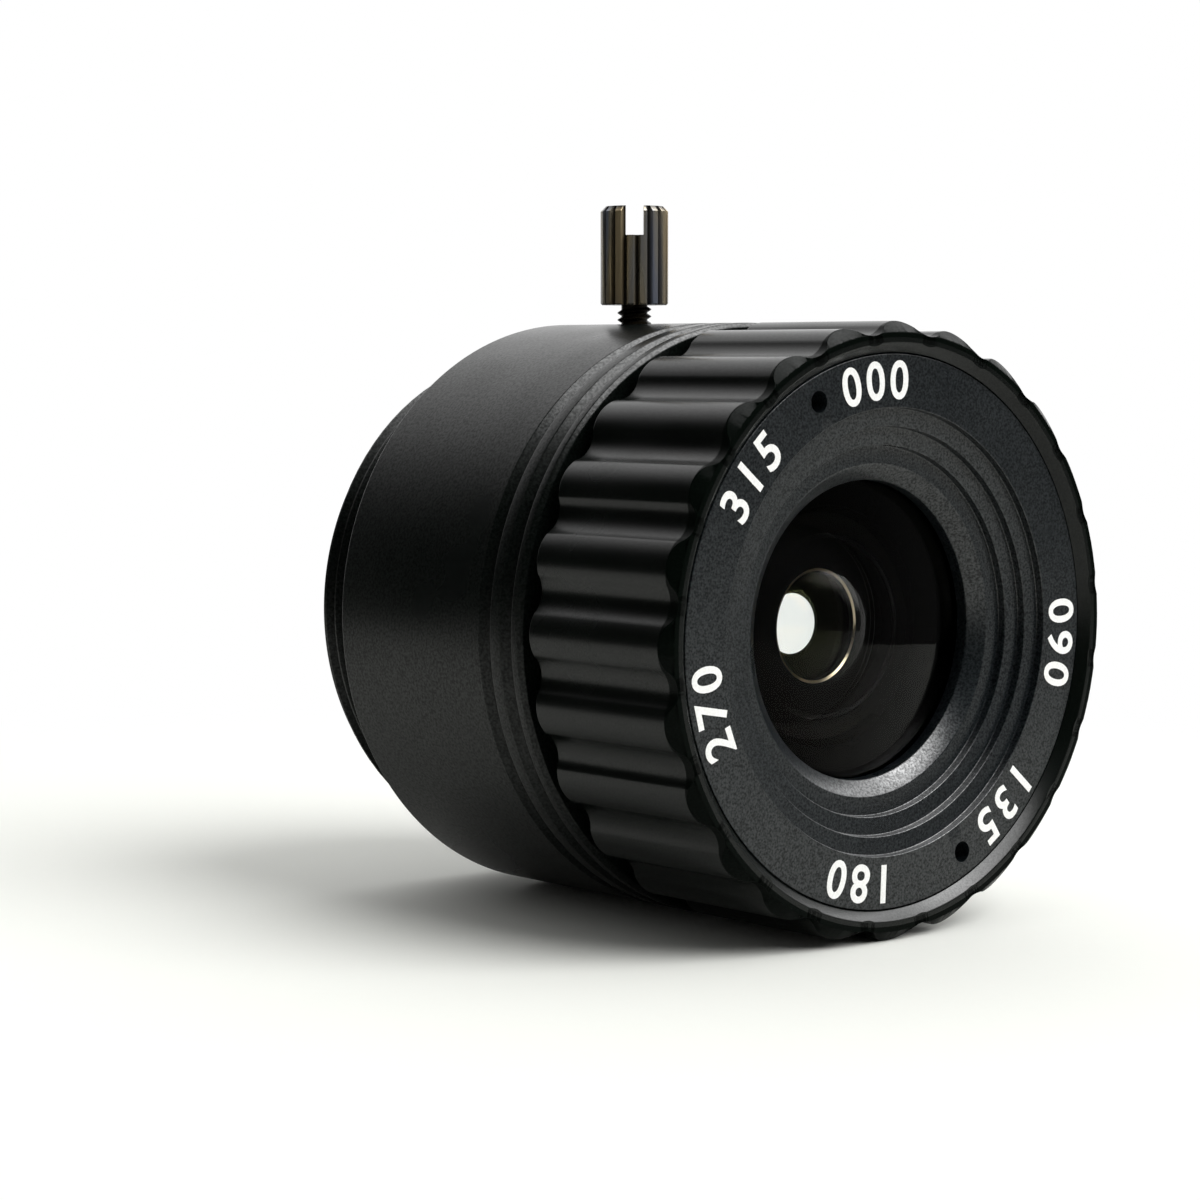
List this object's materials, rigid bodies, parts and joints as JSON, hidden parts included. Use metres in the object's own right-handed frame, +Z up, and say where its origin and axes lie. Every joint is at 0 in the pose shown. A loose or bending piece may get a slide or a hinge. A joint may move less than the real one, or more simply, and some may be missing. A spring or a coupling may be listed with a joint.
{
  "type": "camera lens",
  "caption": "Small fixed-focal camera lens with a screw mount, a fluted focus ring, a stepped name ring round the front glass and a knurled focus lock screw.",
  "frame": {"origin": "centre of the mount's seat plane, on the optical axis, where the thread begins", "axes": "+Y back along the optical axis towards the camera body, +Z up through the lock screw, +X to the right as seen from the front; the front glass faces -Y"},
  "size_m": [0.0288, 0.0286, 0.0347],
  "materials": {
    "barrel_black": "fine matte black anodising over a bead-blasted surface",
    "grip_black": "smooth semi-gloss black anodising",
    "dial_black": "matte black anodising with a fine speckle",
    "cell_black": "dead matte black anodising",
    "coated_glass": "polished and anti-reflection coated",
    "rubber_black": "smooth black rubber",
    "pad_nylon": "turned nylon",
    "black_nickel": "black nickel plating over straight knurling"
  },
  "bodies": {
    "barrel": {"main_barrel": "barrel_black"},
    "damper": {"damping_ring": "rubber_black"},
    "focus_group": {"focus_ring": "grip_black", "lens_cell": "cell_black", "name_ring": "dial_black", "front_element": "coated_glass", "front_seal": "rubber_black", "second_element": "coated_glass", "front_spacer": "cell_black", "third_element": "coated_glass", "aperture_stop": "cell_black", "stop_spacer": "cell_black", "fourth_element": "coated_glass", "middle_spacer": "cell_black", "doublet_flint": "coated_glass", "doublet_crown": "coated_glass", "rear_spacer": "cell_black", "rear_element": "coated_glass", "rear_retainer": "cell_black"},
    "lock_tip": {"lock_pad": "pad_nylon"},
    "lock_screw": {"lock_screw": "black_nickel"}
  },
  "joints": [
    {"name": "focus_travel", "type": "slide", "parent": "barrel", "child": "damper", "axis": [0, 1, 0], "range_m": [-0.0005, 0.0005]},
    {"name": "focus_turn", "type": "hinge", "parent": "damper", "child": "focus_group", "pos_m": [0, 0, 0], "axis": [0, 1, 0], "range_deg": [-360, 360]},
    {"name": "lock_travel", "type": "slide", "parent": "barrel", "child": "lock_tip", "axis": [0, 0, 1], "range_m": [-0.00014, 0.0007]},
    {"name": "lock_turn", "type": "hinge", "parent": "lock_tip", "child": "lock_screw", "pos_m": [0, -0.0055, 0.0144], "axis": [0, 0, 1], "range_deg": [-144, 720]}
  ],
  "couplings": [
    {"joint": "focus_turn", "follows": "focus_travel", "rad_per_m": 12566},
    {"joint": "lock_turn", "follows": "lock_travel", "rad_per_m": 17952}
  ]
}
